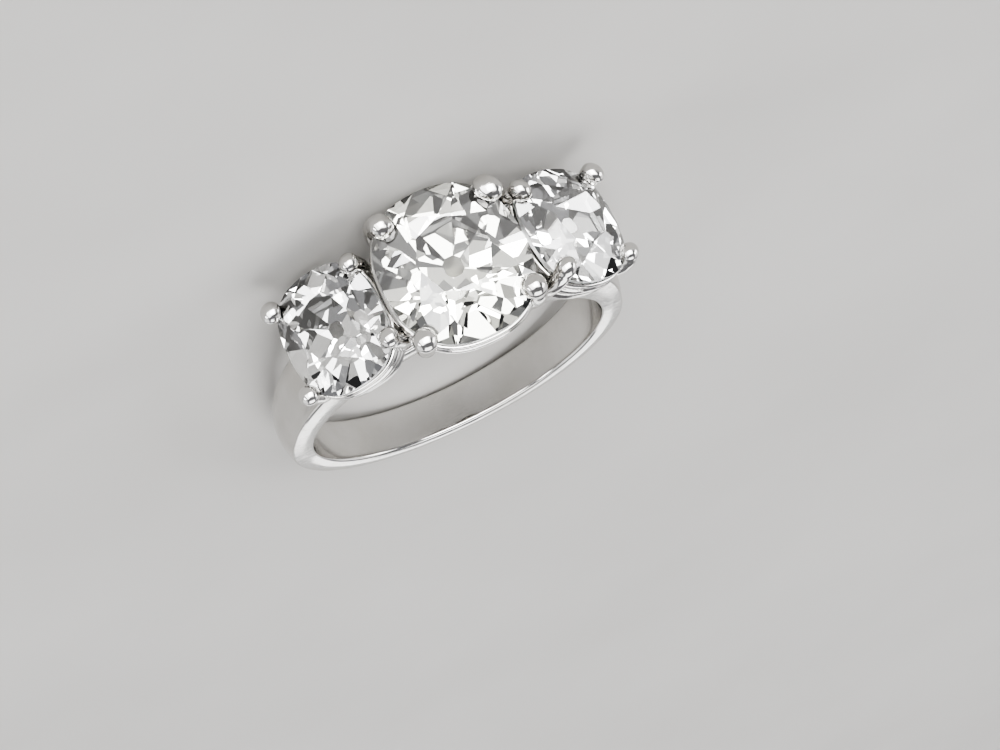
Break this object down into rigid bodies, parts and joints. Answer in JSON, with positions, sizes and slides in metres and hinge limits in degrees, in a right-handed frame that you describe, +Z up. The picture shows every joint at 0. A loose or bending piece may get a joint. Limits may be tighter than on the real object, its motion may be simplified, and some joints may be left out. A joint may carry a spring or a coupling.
{
  "type": "three-stone ring",
  "caption": "Finger ring lying on its side, with a row of old mine cut cushion stones, the middle one largest, in open prong settings on a plain polished band",
  "frame": {"origin": "the middle of the ring's footprint, on the surface that it lies on", "axes": "+Z up; the row of stones runs along X and the stones face -Y and a little upwards; the finger's axis leans 8 degrees from +Z towards +Y"},
  "size_m": [0.02, 0.0256, 0.0087],
  "materials": {
    "platinum": "polished white metal with fine wear",
    "center_diamond": "cut diamond, faintly warm",
    "side_diamond": "cut diamond, colourless"
  },
  "bodies": {
    "root": {"ring_mount": "platinum", "center_stone": "center_diamond", "left_stone": "side_diamond", "right_stone": "side_diamond"}
  },
  "joints": []
}
